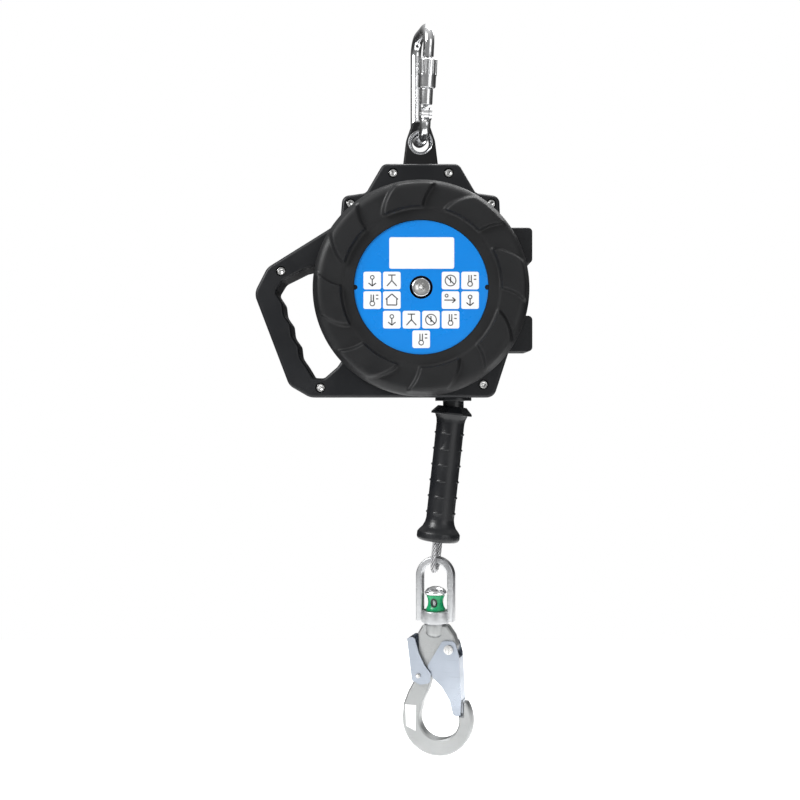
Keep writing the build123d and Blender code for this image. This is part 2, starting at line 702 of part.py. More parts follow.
def swivel():
    legLow = SWIVEL_TOP - SWIVEL_H + 1.8
    right = Line((BOW_HALF, 0, legLow), (BOW_HALF, 0, -BOW_HALF))
    crown = ThreePointArc((BOW_HALF, 0, -BOW_HALF), (0, 0, 0), (-BOW_HALF, 0, -BOW_HALF))
    left = Line((-BOW_HALF, 0, -BOW_HALF), (-BOW_HALF, 0, legLow))
    start = Plane(origin=(BOW_HALF, 0, legLow), x_dir=(1, 0, 0), z_dir=(0, 0, 1))
    bow = sweep(start * RectangleRounded(BOW_T, BOW_W, 1.4), Wire([right, crown, left]))
    low = SWIVEL_TOP - SWIVEL_H
    bow += turned([
        (SHANK_R, low), (SWIVEL_R - 0.8, low), (SWIVEL_R, low + 0.8),
        (SWIVEL_R, SWIVEL_TOP - 0.8), (SWIVEL_R - 0.8, SWIVEL_TOP), (SHANK_R, SWIVEL_TOP),
    ])
    bow -= post(0, 0, SHANK_R + RUNNING, low - 1, SWIVEL_TOP + 1)
    nodes["bow"] = BOW_AT * bow

    capLow = CAP_TOP - CAP_H
    cap = turned([
        (0, CAP_TOP), (4, CAP_TOP - 0.5), (7.4, CAP_TOP - 2), (CAP_R - 0.6, CAP_TOP - 4.2),
        (CAP_R, CAP_TOP - 5.6), (CAP_R - 0.7, capLow), (0, capLow),
    ])
    nodes["swivel_cap"] = BOW_AT * cap
    nodes["shank"] = BOW_AT * post(0, 0, SHANK_R, BARREL_TOP, capLow)
    sleeveLow = SWIVEL_TOP + GAP
    middle = (capLow + sleeveLow) / 2
    profile = [
        (SHANK_R, capLow), (8.4, capLow), (8.4, capLow - 1.4), (7.3, middle + 3), (7.0, middle),
        (7.4, middle - 3), (8.8, sleeveLow + 1.4), (8.8, sleeveLow), (SHANK_R, sleeveLow),
    ]
    sleeve = turned(profile)
    window = Pos(0, middle) * Ellipse(1.9, 2.8)
    sleeve -= across(window, -12, 0)
    nodes["fall_indicator"] = BOW_AT * sleeve
    washer = post(0, 0, 9.2, BARREL_TOP, low - GAP) - post(0, 0, SHANK_R, BARREL_TOP - 1, low)
    nodes["thrust_washer"] = BOW_AT * washer


# Hook, drawn in its own XZ


def hookFace():
    bowl = Pos(*BOWL) * Circle(BOWL_R)
    bowl -= Pos(BOWL[0] - 50, NOTCH_Z) * Rectangle(50 + NOSE_X - BOWL[0], 100, align=(Align.MIN, Align.MIN))
    bowl -= Pos(0, NOSE_TOP) * Rectangle(100, 100, align=(Align.MIN, Align.MIN))
    spine = outline([
        (-30.4, -147),
        (-29.4, -134.6),
        (-25.2, -123.4),
        (-19.6, -113),
        (-17.0, -103),
        (-15.5, -85),
        (-15.5, -68),
        (-11.0, -60.2),
        (12.0, -60.2),
        (18.5, -69),
        (21.8, -79),
        (19.5, -87),
        (8.0, -93),
        (-1.5, -104),
        (-5.7, -119.7),
        (-12.0, -134),
        (-14.0, -147),
    ], [0, 10, 12, 10, 10, 5, 5, 3, 3, 6, 5, 5, 8, 10, 20, 14, 0])
    return bowl + spine - Pos(*SEAT) * Circle(SEAT_R)


def hook():
    body = across(hookFace(), -HOOK_HALF, HOOK_HALF)
    body = chamfer(body.faces().filter_by(Axis.Y).edges(), HOOK_EDGE)
    body += turned([
        (0, BARREL_TOP), (BARREL_R, BARREL_TOP), (BARREL_R, BARREL_BOTTOM + 4),
        (BARREL_R - 1.4, BARREL_BOTTOM + 1.4), (BARREL_R - 4, BARREL_BOTTOM), (0, BARREL_BOTTOM),
    ])
    body -= disc(*GATE_PIN, GATE_PIN_R, -20, 20)
    body -= disc(*LEVER_PIN, LEVER_PIN_R, -20, 20)
    nodes["hook_body"] = BOW_AT * body

    cheek = outline([
        (8.5, -74.0), (20.5, -73.5), (24.0, -86.0), (26.4, -128.0), (25.4, -142.0), (18.8, -142.0),
        (15.5, -128.0), (8.0, -116.0), (0.0, -109.0), (-6.0, -98.0),
    ], [4, 5, 6, 8, 3, 3, 10, 12, 8, 4])
    web = polygon([(21.9, -89), (24.2, -89), (26.4, -128), (24.1, -128)])
    tip = polygon([(15.9, -129), (26.2, -129), (25.4, -141.6), (18.9, -141.6)])
    top = CHEEK_IN + CHEEK_T
    gate = across(cheek, -top, -CHEEK_IN) + across(cheek, CHEEK_IN, top)
    gate += across(web, -CHEEK_IN, CHEEK_IN) + across(tip, -CHEEK_IN, CHEEK_IN)
    gate -= disc(*GATE_PIN, GATE_PIN_R + RUNNING, -20, 20)
    nodes["hook_gate"] = BOW_AT * gate
    rivet = disc(*GATE_PIN, GATE_PIN_R, -top - GAP, top + GAP)
    rivet += disc(*GATE_PIN, GATE_PIN_R + 0.8, top + GAP, top + 1.5)
    rivet += disc(*GATE_PIN, GATE_PIN_R + 0.8, -top - 1.5, -top - GAP)
    nodes["hook_gate_rivet"] = BOW_AT * rivet

    side = outline([
        (-24.8, -71.5), (-17.5, -71.5), (-13.5, -86.0), (-8.0, -97.0), (-2.0, -104.0), (-3.0, -113.0),
        (-12.0, -115.0), (-20.0, -111.5),
    ], [3, 3, 8, 6, 3, 3, 5, 3])
    back = polygon([(-24.6, -73), (-22.6, -73), (-19.2, -102), (-21.2, -102)])
    far = LEVER_IN + LEVER_T
    lever = across(side, -far, -LEVER_IN) + across(side, LEVER_IN, far) + across(back, -far, far)
    lever -= disc(*LEVER_PIN, LEVER_PIN_R + RUNNING, -20, 20)
    nodes["hook_lever"] = BOW_AT * lever
    pin = disc(*LEVER_PIN, LEVER_PIN_R, -far - 1.2, far + 1.2)
    nodes["hook_lever_rivet"] = BOW_AT * pin
    tag = polygon([(-27.6, -135), (-17.0, -135), (-17.5, -159), (-26.6, -155)])
    nodes["hook_tag"] = BOW_AT * across(tag, -HOOK_HALF - 0.4, -HOOK_HALF)


carabiner()
housing()
coversAndBolts()
frame()
brake()
drumGroup()
nozzle()
lead()
swivel()
hook()

os.makedirs("parts", exist_ok=True)
for name, shape in nodes.items():
    export_step(shape, f"parts/{name}.step")
print("nodes", len(nodes))
print("eye", round(EYE_Z, 2), "swing", round(SWING_Z, 2), "drum axis", round(AXIS_Z, 2), "lean", round(LEAN, 3))
print("bow centre", round(BOW_X, 2), round(BOW_Z, 2), "travel", round(WRAP_R * radians(TRAVEL_TURN), 3))
print("lead top", round(LEAD_TOP, 2))
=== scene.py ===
import bmesh
import bpy
import json
import math
from mathutils import Matrix, Vector


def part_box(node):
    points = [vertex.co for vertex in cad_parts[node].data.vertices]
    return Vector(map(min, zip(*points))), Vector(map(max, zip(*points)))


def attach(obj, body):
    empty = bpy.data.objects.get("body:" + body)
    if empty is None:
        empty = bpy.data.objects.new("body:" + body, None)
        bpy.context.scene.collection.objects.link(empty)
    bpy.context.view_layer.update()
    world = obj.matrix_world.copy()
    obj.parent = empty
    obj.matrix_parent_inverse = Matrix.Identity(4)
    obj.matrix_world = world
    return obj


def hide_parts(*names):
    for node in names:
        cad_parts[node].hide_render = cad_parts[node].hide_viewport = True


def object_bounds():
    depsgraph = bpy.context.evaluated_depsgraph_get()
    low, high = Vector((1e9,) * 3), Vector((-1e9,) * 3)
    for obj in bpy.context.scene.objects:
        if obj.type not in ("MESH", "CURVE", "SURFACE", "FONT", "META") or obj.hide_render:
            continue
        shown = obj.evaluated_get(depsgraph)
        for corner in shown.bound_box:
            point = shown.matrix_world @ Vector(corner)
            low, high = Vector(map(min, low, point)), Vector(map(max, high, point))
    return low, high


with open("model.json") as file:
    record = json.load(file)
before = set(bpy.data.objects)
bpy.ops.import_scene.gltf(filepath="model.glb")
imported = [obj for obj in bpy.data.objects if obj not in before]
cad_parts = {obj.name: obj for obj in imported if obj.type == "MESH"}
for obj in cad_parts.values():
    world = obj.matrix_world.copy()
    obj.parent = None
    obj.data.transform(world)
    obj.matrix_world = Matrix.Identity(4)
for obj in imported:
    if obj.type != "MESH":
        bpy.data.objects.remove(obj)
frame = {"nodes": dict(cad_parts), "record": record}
cadBox = [list(corner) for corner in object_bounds()]
nodes = frame["nodes"]
print("frame loaded:", len(nodes), "nodes")


def centreOf(node):
    low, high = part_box(node)
    return (Vector(low) + Vector(high)) / 2


drumAxis = centreOf("front_label")
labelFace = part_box("front_label")[0][1]

# camera, floor and light

view = {"distance": 1.116, "x": -0.019, "z": -0.3335, "lens": 54.0, "sensor": 36.0}
studio = {"floorDrop": 0.045, "floorSize": 1.5, "floorGlow": 0.55, "paper": 0.93, "paperRoughness": 0.9}
roomLight = [  # axis, where it starts and ends, and the strength at each
    ("Y", -1.0, 0.2, 0.27, 0.04),
    ("Z", 0.1, 1.0, 0.0, 0.55),
]
lamps = [
    {"name": "keyPanel", "at": (-1.15, -0.75, 0.55), "size": 0.7, "watts": 24.0},
    {"name": "fillPanel", "at": (0.9, -1.2, -0.1), "size": 0.9, "watts": 4.0},
    {"name": "topPanel", "at": (0.1, 0.2, 0.85), "size": 0.6, "watts": 12.0},
    {"name": "backPanel", "at": (0.6, 1.0, 0.9), "size": 0.8, "watts": 10.0},
]


def makeCamera():
    data = bpy.data.cameras.new("photoCamera")
    data.lens = view["lens"]
    data.sensor_width = view["sensor"]
    camera = bpy.data.objects.new("photoCamera", data)
    camera.location = (view["x"], -view["distance"], view["z"])
    camera.rotation_euler = (math.radians(90), 0, 0)
    bpy.context.scene.collection.objects.link(camera)
    bpy.context.scene.camera = camera


def makeLamps():
    target = Vector((0, 0, view["z"]))
    for lamp in lamps:
        data = bpy.data.lights.new(lamp["name"], "AREA")
        data.energy = lamp["watts"]
        data.size = lamp["size"]
        light = bpy.data.objects.new(lamp["name"], data)
        light.location = lamp["at"]
        light.rotation_euler = (target - light.location).to_track_quat("-Z", "Y").to_euler()
        bpy.context.scene.collection.objects.link(light)


def makeWorld():
    world = bpy.data.worlds.new("studioWorld")
    bpy.context.scene.world = world
    world.use_nodes = True
    tree = world.node_tree
    backdrop = tree.nodes["Background"]
    where = tree.nodes.new("ShaderNodeTexCoord")
    parts = tree.nodes.new("ShaderNodeSeparateXYZ")
    tree.links.new(where.outputs["Generated"], parts.inputs["Vector"])
    levels = []
    for axis, start, end, atStart, atEnd in roomLight:  # a pale front and ceiling in a darker room
        level = tree.nodes.new("ShaderNodeMapRange")
        level.inputs["From Min"].default_value = start
        level.inputs["From Max"].default_value = end
        level.inputs["To Min"].default_value = atStart
        level.inputs["To Max"].default_value = atEnd
        tree.links.new(parts.outputs[axis], level.inputs["Value"])
        levels.append(level.outputs["Result"])
    total = tree.nodes.new("ShaderNodeMath")
    tree.links.new(levels[0], total.inputs[0])
    tree.links.new(levels[1], total.inputs[1])
    path = tree.nodes.new("ShaderNodeLightPath")
    pick = tree.nodes.new("ShaderNodeMix")  # the camera itself sees plain white
    pick.inputs["B"].default_value = 1.0
    tree.links.new(path.outputs["Is Camera Ray"], pick.inputs["Factor"])
    tree.links.new(total.outputs[0], pick.inputs["A"])
    tree.links.new(pick.outputs["Result"], backdrop.inputs["Strength"])
    backdrop.inputs["Color"].default_value = (1, 1, 1, 1)


def makeFloor():
    mesh = bpy.data.meshes.new("floor")
    half = studio["floorSize"] / 2
    z = cadBox[0][2] - studio["floorDrop"]
    corners = [(-half, -half, z), (half, -half, z), (half, half, z), (-half, half, z)]
    mesh.from_pydata(corners, [], [(0, 1, 2, 3)])
    floor = bpy.data.objects.new("floor", mesh)
    bpy.context.scene.collection.objects.link(floor)
    paper = bpy.data.materials.new("palePaper")
    paper.use_nodes = True
    shader = paper.node_tree.nodes["Principled BSDF"]
    shader.inputs["Base Color"].default_value = (*[studio["paper"]] * 3, 1)
    shader.inputs["Roughness"].default_value = studio["paperRoughness"]
    shader.inputs["Emission Color"].default_value = (1, 1, 1, 1)
    shader.inputs["Emission Strength"].default_value = studio["floorGlow"]
    mesh.materials.append(paper)


makeCamera()
makeLamps()
makeWorld()
makeFloor()
bpy.context.scene.view_settings.view_transform = "Standard"
print("camera, floor and light made")

# shader groups that several finishes share


broadTone = {"scale": 22.0, "detail": 5.0}
markRange = (0.35, 0.68)
scratchShape = {"stretch": (1.0, 1.0, 14.0), "turn": (0.35, 0.6, 0.2), "from": 0.60, "to": 0.72}


def newGroup(name, inputs, outputs):
    group = bpy.data.node_groups.new(name, "ShaderNodeTree")
    for title, value in inputs:
        socket = group.interface.new_socket(title, in_out="INPUT", socket_type="NodeSocketFloat")
        socket.default_value = value
    for title in outputs:
        group.interface.new_socket(title, in_out="OUTPUT", socket_type="NodeSocketFloat")
    return group, group.nodes.new("NodeGroupInput"), group.nodes.new("NodeGroupOutput")


def link(tree, fromSocket, toSocket):
    tree.links.new(fromSocket, toSocket)


def noiseNode(group, scale, detail, where):
    noise = group.nodes.new("ShaderNodeTexNoise")
    noise.inputs["Detail"].default_value = detail
    link(group, where, noise.inputs["Vector"])
    if isinstance(scale, float):
        noise.inputs["Scale"].default_value = scale
    else:
        link(group, scale, noise.inputs["Scale"])
    return noise


def makeGrain():
    group, given, out = newGroup("mouldGrain", [("Scale", 900.0), ("Depth", 1.0)], ["Height", "Tone"])
    coords = group.nodes.new("ShaderNodeTexCoord")
    fine = noiseNode(group, given.outputs["Scale"], 3.0, coords.outputs["Object"])
    lift = group.nodes.new("ShaderNodeMath")
    lift.operation = "MULTIPLY"
    link(group, fine.outputs["Fac"], lift.inputs[0])
    link(group, given.outputs["Depth"], lift.inputs[1])
    link(group, lift.outputs[0], out.inputs["Height"])
    broad = noiseNode(group, broadTone["scale"], broadTone["detail"], coords.outputs["Object"])
    link(group, broad.outputs["Fac"], out.inputs["Tone"])
    return group


def makeHandling():
    sizes = [("Scale", 30.0), ("Low", 0.3), ("High", 0.5)]
    group, given, out = newGroup("handlingMarks", sizes, ["Roughness"])
    coords = group.nodes.new("ShaderNodeTexCoord")
    cloud = noiseNode(group, given.outputs["Scale"], 6.0, coords.outputs["Object"])
    spread = group.nodes.new("ShaderNodeMapRange")
    spread.inputs["From Min"].default_value = markRange[0]
    spread.inputs["From Max"].default_value = markRange[1]
    link(group, cloud.outputs["Fac"], spread.inputs["Value"])
    link(group, given.outputs["Low"], spread.inputs["To Min"])
    link(group, given.outputs["High"], spread.inputs["To Max"])
    link(group, spread.outputs["Result"], out.inputs["Roughness"])
    return group


def makeScratches():
    group, given, out = newGroup("fineScratches", [("Scale", 60.0), ("Amount", 0.3)], ["Mask"])
    coords = group.nodes.new("ShaderNodeTexCoord")
    stretch = group.nodes.new("ShaderNodeMapping")
    stretch.inputs["Scale"].default_value = scratchShape["stretch"]
    stretch.inputs["Rotation"].default_value = scratchShape["turn"]
    link(group, coords.outputs["Object"], stretch.inputs["Vector"])
    noise = noiseNode(group, given.outputs["Scale"], 4.0, stretch.outputs["Vector"])
    cut = group.nodes.new("ShaderNodeMapRange")
    cut.inputs["From Min"].default_value = scratchShape["from"]
    cut.inputs["From Max"].default_value = scratchShape["to"]
    link(group, noise.outputs["Fac"], cut.inputs["Value"])
    link(group, given.outputs["Amount"], cut.inputs["To Max"])
    link(group, cut.outputs["Result"], out.inputs["Mask"])
    return group


grainGroup = makeGrain()
handlingGroup = makeHandling()
scratchGroup = makeScratches()

# each finish: its colour and second tone, lowest and highest roughness, grain scale and bump strength
finishes = {
    "mouldedNylon": dict(color=(0.0055, 0.0060, 0.0072), tint=(0.011, 0.012, 0.014),
                         rough=(0.38, 0.56), grain=1400, bump=0.10, gloss=0.32),
    "bumperRubber": dict(color=(0.0060, 0.0063, 0.0070), tint=(0.012, 0.0125, 0.0135),
                         rough=(0.42, 0.62), grain=1000, bump=0.14, gloss=0.32),
    "gripRubber": dict(color=(0.0045, 0.0050, 0.0065), tint=(0.010, 0.011, 0.013),
                       rough=(0.26, 0.42), grain=1600, bump=0.10, gloss=0.5),
    "blackPaint": dict(color=(0.0050, 0.0050, 0.0055), tint=(0.012, 0.012, 0.013),
                       rough=(0.30, 0.48), grain=700, bump=0.10, gloss=0.32),
    "brightPlate": dict(color=(0.74, 0.75, 0.76), tint=(0.86, 0.86, 0.87),
                        rough=(0.12, 0.30), metal=1.0, grain=500, bump=0.05, scratch=0.35),
    "forgedZinc": dict(color=(0.43, 0.44, 0.45), tint=(0.64, 0.65, 0.66),
                       rough=(0.28, 0.46), metal=1.0, grain=420, bump=0.22, scratch=0.30),
    "castZinc": dict(color=(0.34, 0.35, 0.35), tint=(0.53, 0.54, 0.54),
                     rough=(0.40, 0.60), metal=1.0, grain=900, bump=0.28, scratch=0.15),
    "pressedZinc": dict(color=(0.31, 0.35, 0.41), tint=(0.48, 0.52, 0.58),
                        rough=(0.24, 0.40), metal=1.0, grain=600, bump=0.06, scratch=0.18),
    # painted shade: a near-black steel colour for the cable's core, standing in for the shadow between the
    # strands
    "paintedShadeCore": dict(color=(0.035, 0.035, 0.037), tint=(0.06, 0.06, 0.062),
                      rough=(0.5, 0.7), metal=1.0, grain=900, bump=0.1),
    "strandSteel": dict(color=(0.36, 0.36, 0.37), tint=(0.70, 0.70, 0.71),
                        rough=(0.26, 0.42), metal=1.0, grain=900, bump=0.12, scratch=0.2),
    "screwZinc": dict(color=(0.62, 0.62, 0.61), tint=(0.78, 0.78, 0.77),
                      rough=(0.20, 0.36), metal=1.0, grain=800, bump=0.06, scratch=0.4),
    "labelFilm": dict(color=(0.000, 0.205, 0.66), tint=(0.001, 0.225, 0.72),
                      rough=(0.22, 0.34), grain=300, bump=0.01),
    "labelWhite": dict(color=(0.84, 0.85, 0.86), tint=(0.90, 0.90, 0.90),
                       rough=(0.25, 0.38), grain=300, bump=0.01),
    "labelInk": dict(color=(0.010, 0.011, 0.014), tint=(0.018, 0.018, 0.022),
                     rough=(0.30, 0.42), grain=300, bump=0.01),
    "indicatorGreen": dict(color=(0.000, 0.25, 0.085), tint=(0.002, 0.36, 0.13),
                           rough=(0.22, 0.38), grain=500, bump=0.03),
    "tagWhite": dict(color=(0.86, 0.86, 0.86), tint=(0.93, 0.93, 0.93),
                     rough=(0.35, 0.5), grain=300, bump=0.01),
    "frameSteel": dict(color=(0.36, 0.37, 0.38), tint=(0.52, 0.53, 0.54),
                       rough=(0.30, 0.48), metal=1.0, grain=500, bump=0.08, scratch=0.4),
    "castAluminium": dict(color=(0.50, 0.50, 0.51), tint=(0.62, 0.62, 0.63),
                          rough=(0.38, 0.55), metal=1.0, grain=700, bump=0.2),
    "sinteredBronze": dict(color=(0.42, 0.27, 0.12), tint=(0.55, 0.38, 0.18),
                           rough=(0.35, 0.5), metal=1.0, grain=1500, bump=0.15),
    "frictionLining": dict(color=(0.09, 0.065, 0.045), tint=(0.15, 0.11, 0.08),
                           rough=(0.7, 0.9), grain=1200, bump=0.3),
    "guideNylon": dict(color=(0.05, 0.05, 0.052), tint=(0.08, 0.08, 0.083),
                       rough=(0.35, 0.5), grain=900, bump=0.05),
}


grainDepth = 0.0006
scratchTone = 0.55


def makeFinish(name, color, tint, rough, grain, bump, metal=0.0, scratch=0.0, gloss=0.5):
    material = bpy.data.materials.new(name)
    material.use_nodes = True
    tree = material.node_tree
    shader = tree.nodes["Principled BSDF"]
    shader.inputs["Metallic"].default_value = metal
    shader.inputs["Specular IOR Level"].default_value = gloss
    texture = tree.nodes.new("ShaderNodeGroup")
    texture.node_tree = grainGroup
    texture.inputs["Scale"].default_value = grain
    marks = tree.nodes.new("ShaderNodeGroup")
    marks.node_tree = handlingGroup
    marks.inputs["Low"].default_value = rough[0]
    marks.inputs["High"].default_value = rough[1]
    mix = tree.nodes.new("ShaderNodeMix")
    mix.data_type = "RGBA"
    mix.inputs["A"].default_value = (*color, 1)
    mix.inputs["B"].default_value = (*tint, 1)
    tree.links.new(texture.outputs["Tone"], mix.inputs["Factor"])
    tree.links.new(marks.outputs["Roughness"], shader.inputs["Roughness"])
    bumpNode = tree.nodes.new("ShaderNodeBump")
    bumpNode.inputs["Strength"].default_value = bump
    bumpNode.inputs["Distance"].default_value = grainDepth
    tree.links.new(texture.outputs["Height"], bumpNode.inputs["Height"])
    tree.links.new(bumpNode.outputs["Normal"], shader.inputs["Normal"])
    surface = mix.outputs["Result"]
    if scratch:
        lines = tree.nodes.new("ShaderNodeGroup")
        lines.node_tree = scratchGroup
        lines.inputs["Amount"].default_value = scratch
        worn = tree.nodes.new("ShaderNodeMix")
        worn.data_type = "RGBA"
        worn.inputs["B"].default_value = (*[c * scratchTone for c in color], 1)
        tree.links.new(lines.outputs["Mask"], worn.inputs["Factor"])
        tree.links.new(surface, worn.inputs["A"])
        surface = worn.outputs["Result"]
    tree.links.new(surface, shader.inputs["Base Color"])
    return material


materials = {name: makeFinish(name, **values) for name, values in finishes.items()}

wears = {
    "brightPlate": ["carabiner_body", "carabiner_gate", "lock_sleeve", "lock_ring", "carabiner_rivet",
                    "eye_bush", "swivel_cap"],
    "blackPaint": ["anchor_lug"],
    "mouldedNylon": ["front_casing", "rear_casing", "upper_foot", "lower_foot", "front_cover",
                     "rear_cover"],
    "bumperRubber": ["front_bumper_ring", "rear_bumper_ring"],
    "gripRubber": ["grip", "grip_collar", "cable_nozzle"],
    "labelFilm": ["front_label"],
    "screwZinc": ["casing_screws", "front_bolt", "rear_bolt", "hook_gate_rivet", "hook_lever_rivet"],
    "forgedZinc": ["bow", "thrust_washer", "shank"],
    "castZinc": ["hook_body"],
    "pressedZinc": ["hook_gate", "hook_lever"],
    "strandSteel": ["lead_cable", "wound_cable"],
    "castAluminium": ["ferrule", "drum"],
    "indicatorGreen": ["fall_indicator"],
    "tagWhite": ["hook_tag"],
    "frameSteel": ["front_frame_plate", "rear_frame_plate", "frame_bolts", "frame_spacers", "axle",
                   "ratchet_ring", "clamp_ring", "pawl_pins", "pawl_1", "pawl_2", "pawl_3", "power_spring",
                   "spring_cover"],
    "sinteredBronze": ["drum_bushes"],
    "frictionLining": ["friction_linings"],
    "guideNylon": ["nozzle_bush"],
}
for finish, names in wears.items():
    for name in names:
        slots = nodes[name].data.materials
        slots.clear()
        slots.append(materials[finish])
print("finishes made:", len(materials))


def finishMesh(name, mesh, finish, body):
    piece = bpy.data.objects.new(name, mesh)
    bpy.context.scene.collection.objects.link(piece)
    if finish:
        mesh.materials.append(materials[finish])
    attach(piece, body)
    return piece


# smooth copies of the curved nodes: same surfaces, shaded without facets

smoothing = {"mergeAt": 0.00001, "sharpAbove": 32.0, "flatWithin": 1.0, "bevelAbove": 38.0, "bevelSteps": 2}
softEdges = {
    "hook_body": 0.0007, "hook_gate": 0.0003, "hook_lever": 0.0003, "upper_foot": 0.0010,
    "lower_foot": 0.0010, "cable_nozzle": 0.0004, "front_casing": 0.0004, "rear_casing": 0.0004,
    "grip_collar": 0.0007, "anchor_lug": 0.0005,
}


def smoothCopy(node, finish, body, bevel):
    source = bmesh.new()
    source.from_mesh(nodes[node].data)
    bmesh.ops.remove_doubles(source, verts=source.verts, dist=smoothing["mergeAt"])
    if bevel:
        flat = math.radians(smoothing["flatWithin"])
        bmesh.ops.dissolve_limit(source, angle_limit=flat, verts=source.verts, edges=source.edges)
    mesh = bpy.data.meshes.new(node + "_surface")
    source.to_mesh(mesh)
    source.free()
    mesh.polygons.foreach_set("use_smooth", [True] * len(mesh.polygons))
    mesh.set_sharp_from_angle(angle=math.radians(smoothing["sharpAbove"]))
    piece = finishMesh(node + "_surface", mesh, finish, body)
    if bevel:
        softener = piece.modifiers.new("edge", "BEVEL")
        softener.width = bevel
        softener.segments = smoothing["bevelSteps"]
        softener.limit_method = "ANGLE"
        softener.angle_limit = math.radians(smoothing["bevelAbove"])
    evener = piece.modifiers.new("evenNormals", "WEIGHTED_NORMAL")
    evener.keep_sharp = True
    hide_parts(node)


bodyOf = {node: body for body, members in frame["record"]["behaviour"]["bodies"].items() for node in members}
finishOf = {node: finish for finish, names in wears.items() for node in names}
madeBelow = ("lead_cable", "front_bumper_ring", "rear_bumper_ring")
smoothNodes = [node for node in nodes if node not in madeBelow]
for name in smoothNodes:
    smoothCopy(name, finishOf[name], bodyOf[name], softEdges.get(name, 0.0))
print("smooth copies made:", len(smoothNodes))

# bumper rings: swept tread blocks that blend into a rounded rim

bumper = {
    "innerR": 0.0606, "stepR": 0.0710, "outerR": 0.0980, "flat": 0.0408, "face": 0.0416, "tread": 0.0465,
    "back": 0.0252, "skirtR": 0.0922, "seat": 0.0310, "rimR": 0.0100, "stepStart": 0.001, "stepEnd": 0.0012,
    "treads": 8, "around": 512, "across": 40, "sharpAbove": 50.0,
    "crowding": 1.15,  # moves the points of the section towards the rim
}
treadShape = {
    "sweepR": 0.094, "right": 89.0, "rightSweep": 6.5, "rightCurve": 1.6,
    "left": 119.0, "leftSweep": 14.0, "leftCurve": 1.4,
    "edge": 0.0016, "slope": 2.2, "rise": 0.0022, "fadeStart": 0.0925, "fadeEnd": 0.0968,
}


def smoothStep(value, low, high):
    t = min(max((value - low) / (high - low), 0.0), 1.0)
    return t * t * (3 - 2 * t)


def treadLift(r, angle):
    stepR = bumper["stepR"]
    share = min(max((r - stepR) / (treadShape["sweepR"] - stepR), 0.0), 1.0)
    right = treadShape["right"] - treadShape["rightSweep"] * share ** treadShape["rightCurve"]
    left = treadShape["left"] - treadShape["leftSweep"] * share ** treadShape["leftCurve"]
    step = 360.0 / bumper["treads"]
    local = (angle - (right + left) / 2 + step / 2) % step - step / 2
    half = (left - right) / 2
    edge = math.degrees(treadShape["edge"] / r)
    steepSide = smoothStep(local, -half - edge, -half + edge)
    slopedSide = 1 - smoothStep(local, half - treadShape["slope"] * edge, half + edge)
    inner = smoothStep(r, stepR, stepR + treadShape["rise"])
    outer = 1 - smoothStep(r, treadShape["fadeStart"], treadShape["fadeEnd"])
    return steepSide * slopedSide * inner * outer


def rimDepth(r):
    over = r - (bumper["outerR"] - bumper["rimR"])
    if over > 0:
        return bumper["face"] - bumper["rimR"] + math.sqrt(max(bumper["rimR"] ** 2 - over**2, 0.0))
    onFace = smoothStep(r, bumper["stepR"] - bumper["stepStart"], bumper["stepR"] + bumper["stepEnd"])
    return bumper["flat"] + (bumper["face"] - bumper["flat"]) * onFace


def faceRadii():
    radii = []
    span = bumper["outerR"] - bumper["innerR"]
    for n in range(bumper["across"] + 1):
        t = n / bumper["across"]
        radii.append(bumper["innerR"] + span * math.sin(t * math.pi / 2) ** bumper["crowding"])
    return radii


def bumperMesh(name, side):
    mesh = bpy.data.meshes.new(name)
    shape = bmesh.new()
    section = faceRadii()
    tail = [(bumper["outerR"], bumper["back"]), (bumper["skirtR"], bumper["back"]),
            (bumper["skirtR"], bumper["seat"]), (bumper["innerR"], bumper["seat"])]
    rows = []
    for k in range(bumper["around"]):
        angle = 360.0 * k / bumper["around"]
        cosA, sinA = math.cos(math.radians(angle)), math.sin(math.radians(angle))
        seen = angle if side < 0 else 180 - angle
        row = []
        proud = bumper["tread"] - bumper["face"]
        face = [(r, rimDepth(r) + treadLift(r, seen) * proud) for r in section]
        for r, y in face + tail:
            row.append(shape.verts.new((drumAxis.x + r * cosA, side * y, drumAxis.z + r * sinA)))
        rows.append(row)
    for k in range(bumper["around"]):
        here, there = rows[k], rows[(k + 1) % bumper["around"]]
        for n in range(len(here)):
            m = (n + 1) % len(here)
            shape.faces.new((here[n], here[m], there[m], there[n]))
    bmesh.ops.recalc_face_normals(shape, faces=shape.faces)
    shape.to_mesh(mesh)
    shape.free()
    mesh.polygons.foreach_set("use_smooth", [True] * len(mesh.polygons))
    mesh.set_sharp_from_angle(angle=math.radians(bumper["sharpAbove"]))
    return mesh


for name, side in (("front_bumper_ring", -1), ("rear_bumper_ring", 1)):
    ringPiece = finishMesh(name + "_tread", bumperMesh(name + "_tread", side), "bumperRubber", "housing")
    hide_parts(name)
print("bumper rings made")

# label: a blank white panel and rows of plain picture tiles

label = {
    "panel": (0.0582, 0.0282), "panelUp": 0.0307, "panelRight": 0.0005, "corner": 0.0018, "tile": 0.0158,
    "pitch": 0.01755, "thick": 0.00012, "firstRow": 0.0060, "pictureUnit": 0.0011, "lineWidth": 0.00095,
    "ringWidth": 0.00085, "inkThick": 0.00005, "ringParts": 20,
}
tileColumns = [(-2.5, -1.5, 1.5, 2.5), (-2.5, -1.5, 1.5, 2.5), (-1.5, -0.5, 0.5, 1.5), (0.0,)]


def geometryTree(name, sockets):
    tree = bpy.data.node_groups.new(name, "GeometryNodeTree")
    tree.interface.new_socket("Geometry", in_out="INPUT", socket_type="NodeSocketGeometry")
    for title, kind, value in sockets:
        socket = tree.interface.new_socket(title, in_out="INPUT", socket_type=kind)
        if value is not None:
            socket.default_value = value
    tree.interface.new_socket("Geometry", in_out="OUTPUT", socket_type="NodeSocketGeometry")
    return tree, tree.nodes.new("NodeGroupInput"), tree.nodes.new("NodeGroupOutput")


